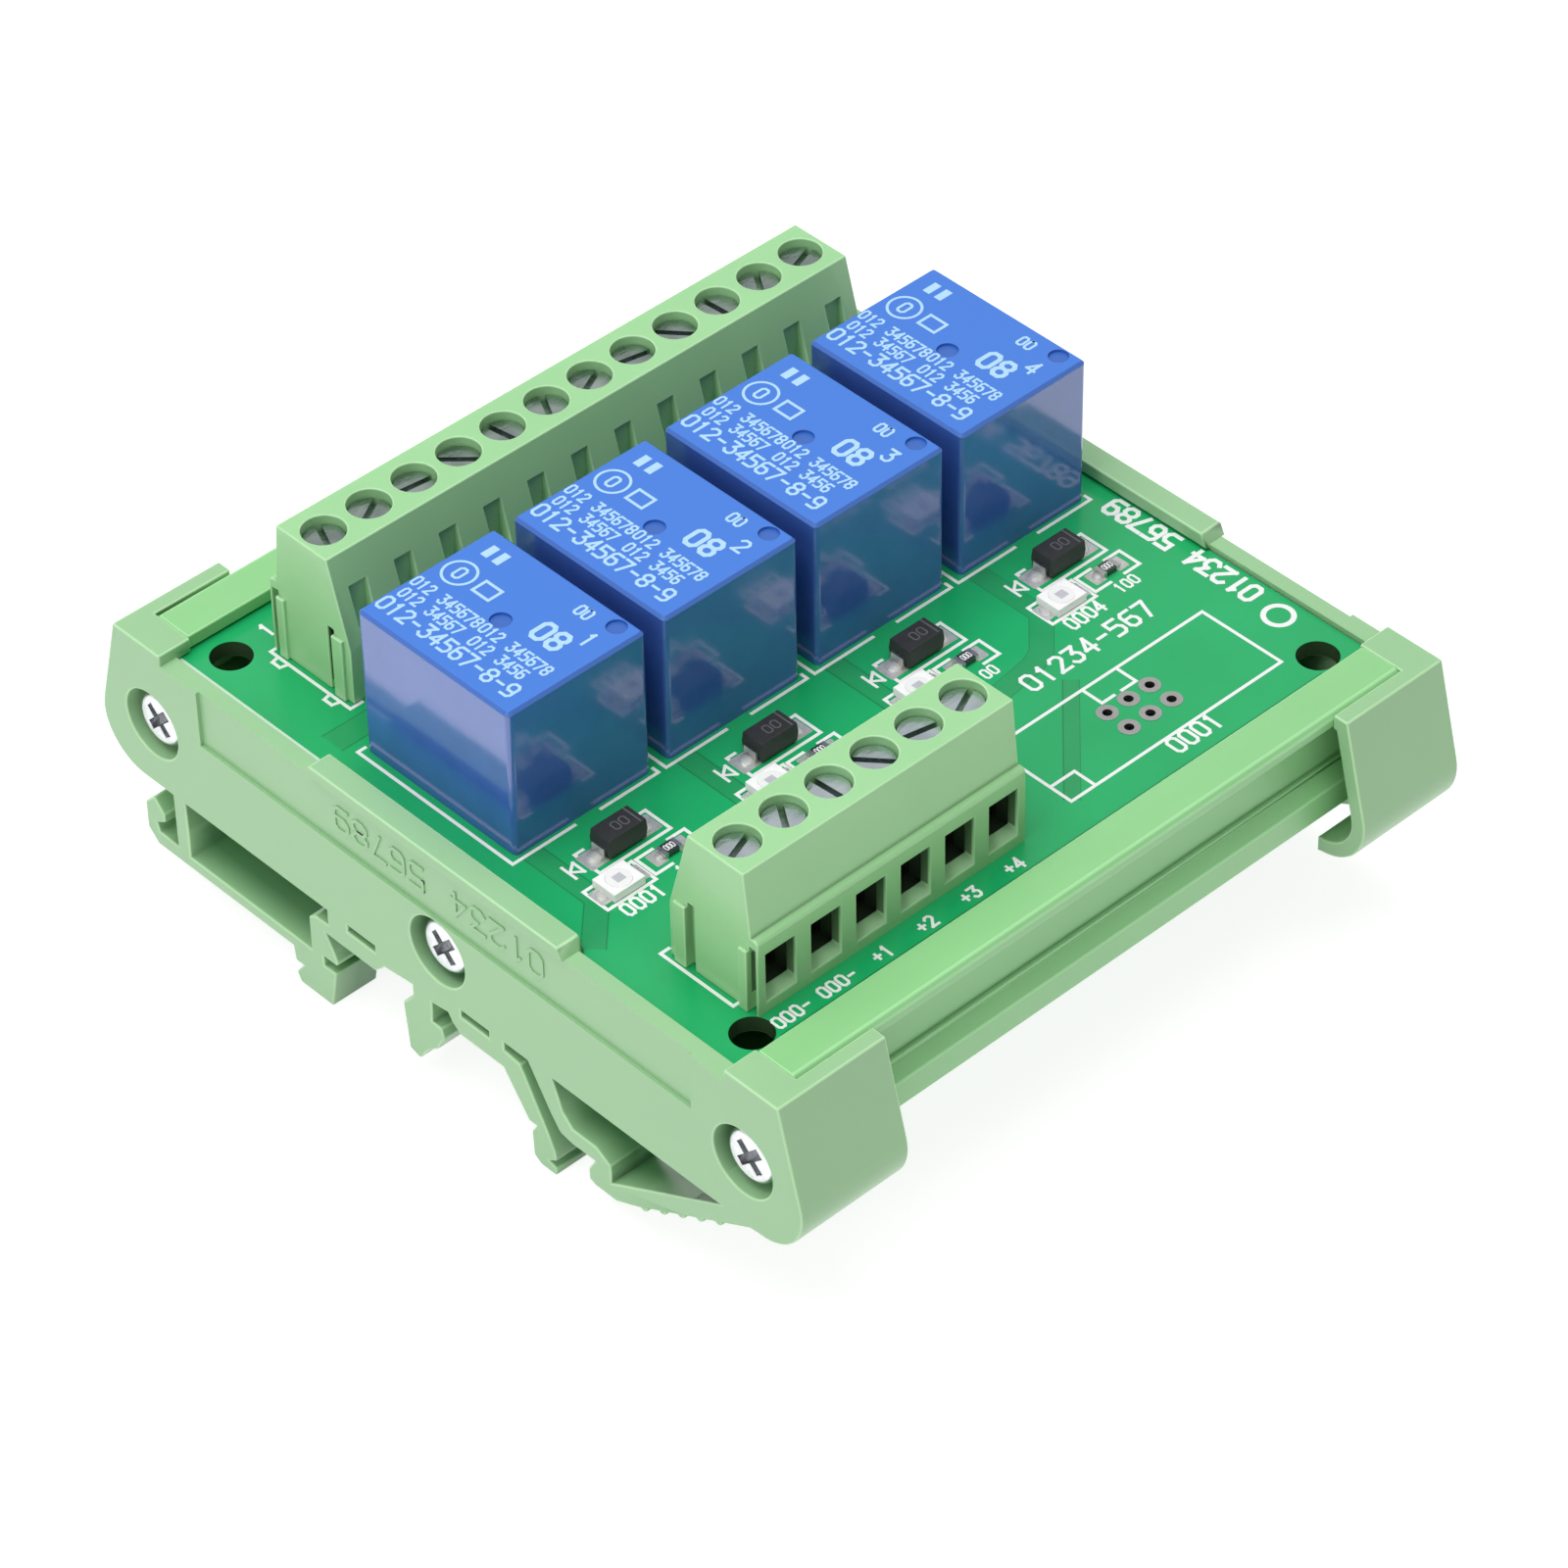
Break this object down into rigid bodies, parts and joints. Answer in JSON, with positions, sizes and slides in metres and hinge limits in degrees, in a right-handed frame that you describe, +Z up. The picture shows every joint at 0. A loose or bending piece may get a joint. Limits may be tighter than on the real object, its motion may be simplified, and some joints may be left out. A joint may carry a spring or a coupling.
{
  "type": "relay module board",
  "caption": "Relay board in a rail-mounted plastic carrier, with screw terminals for coils and contacts.",
  "frame": {"origin": "on the ground under the middle of the carrier, at the level of the lowest rail hooks", "axes": "+X along the rail and the row of relays, +Y towards the twelve-pole terminal, +Z up"},
  "size_m": [0.0786, 0.089, 0.0414],
  "materials": {
    "carrier_plastic": "satin moulded polyamide",
    "terminal_plastic": "satin moulded polyamide",
    "board_laminate": "glass laminate under solder mask",
    "plated_copper": "tinned",
    "screw_steel": "bright zinc plate",
    "clamp_brass": "nickel-plated brass",
    "tinned_lead": "tinned",
    "relay_case_plastic": "glossy moulded",
    "relay_base_plastic": "moulded",
    "bobbin_plastic": "moulded",
    "copper_wire": "enamelled copper",
    "soft_iron": "zinc-plated iron",
    "spring_bronze": "rolled strip",
    "diode_epoxy": "moulded epoxy",
    "lamp_plastic": "white moulded",
    "lamp_lens": "clear resin",
    "resistor_ceramic": "glazed ceramic"
  },
  "bodies": {
    "board_unit": {"carrier_profile": "carrier_plastic", "foot_left": "carrier_plastic", "foot_right": "carrier_plastic", "foot_screws_left": "screw_steel", "foot_screws_right": "screw_steel", "circuit_board": "board_laminate", "header_plating": "plated_copper", "diode_bodies": "diode_epoxy", "diode_leads": "tinned_lead", "led_bodies": "lamp_plastic", "led_lenses": "lamp_lens", "resistor_bodies": "resistor_ceramic", "resistor_caps": "tinned_lead", "output_terminal_housing": "terminal_plastic", "output_terminal_clamps": "clamp_brass", "output_terminal_screws": "screw_steel", "output_terminal_pins": "tinned_lead", "input_terminal_housing": "terminal_plastic", "input_terminal_clamps": "clamp_brass", "input_terminal_screws": "screw_steel", "input_terminal_pins": "tinned_lead", "relay_1_case": "relay_case_plastic", "relay_1_base": "relay_base_plastic", "relay_1_bobbin": "bobbin_plastic", "relay_1_winding": "copper_wire", "relay_1_magnet_frame": "soft_iron", "relay_1_terminals": "tinned_lead", "relay_1_coil_leads": "tinned_lead", "relay_2_case": "relay_case_plastic", "relay_2_base": "relay_base_plastic", "relay_2_bobbin": "bobbin_plastic", "relay_2_winding": "copper_wire", "relay_2_magnet_frame": "soft_iron", "relay_2_terminals": "tinned_lead", "relay_2_coil_leads": "tinned_lead", "relay_3_case": "relay_case_plastic", "relay_3_base": "relay_base_plastic", "relay_3_bobbin": "bobbin_plastic", "relay_3_winding": "copper_wire", "relay_3_magnet_frame": "soft_iron", "relay_3_terminals": "tinned_lead", "relay_3_coil_leads": "tinned_lead", "relay_4_case": "relay_case_plastic", "relay_4_base": "relay_base_plastic", "relay_4_bobbin": "bobbin_plastic", "relay_4_winding": "copper_wire", "relay_4_magnet_frame": "soft_iron", "relay_4_terminals": "tinned_lead", "relay_4_coil_leads": "tinned_lead"},
    "armature_1": {"relay_1_armature": "soft_iron", "relay_1_contact_leaf": "spring_bronze"},
    "armature_2": {"relay_2_armature": "soft_iron", "relay_2_contact_leaf": "spring_bronze"},
    "armature_3": {"relay_3_armature": "soft_iron", "relay_3_contact_leaf": "spring_bronze"},
    "armature_4": {"relay_4_armature": "soft_iron", "relay_4_contact_leaf": "spring_bronze"}
  },
  "joints": [
    {"name": "armature_1_rock", "type": "hinge", "parent": "board_unit", "child": "armature_1", "pos_m": [-0.02544, -0.0011, 0.037], "axis": [-1, 0, 0], "range_deg": [0, 2.9], "stiffness_Nm_per_rad": 0.004, "springref_deg": -5.73},
    {"name": "armature_2_rock", "type": "hinge", "parent": "board_unit", "child": "armature_2", "pos_m": [-0.00805, -0.0011, 0.037], "axis": [-1, 0, 0], "range_deg": [0, 2.9], "stiffness_Nm_per_rad": 0.004, "springref_deg": -5.73},
    {"name": "armature_3_rock", "type": "hinge", "parent": "board_unit", "child": "armature_3", "pos_m": [0.00934, -0.0011, 0.037], "axis": [-1, 0, 0], "range_deg": [0, 2.9], "stiffness_Nm_per_rad": 0.004, "springref_deg": -5.73},
    {"name": "armature_4_rock", "type": "hinge", "parent": "board_unit", "child": "armature_4", "pos_m": [0.02673, -0.0011, 0.037], "axis": [-1, 0, 0], "range_deg": [0, 2.9], "stiffness_Nm_per_rad": 0.004, "springref_deg": -5.73}
  ]
}
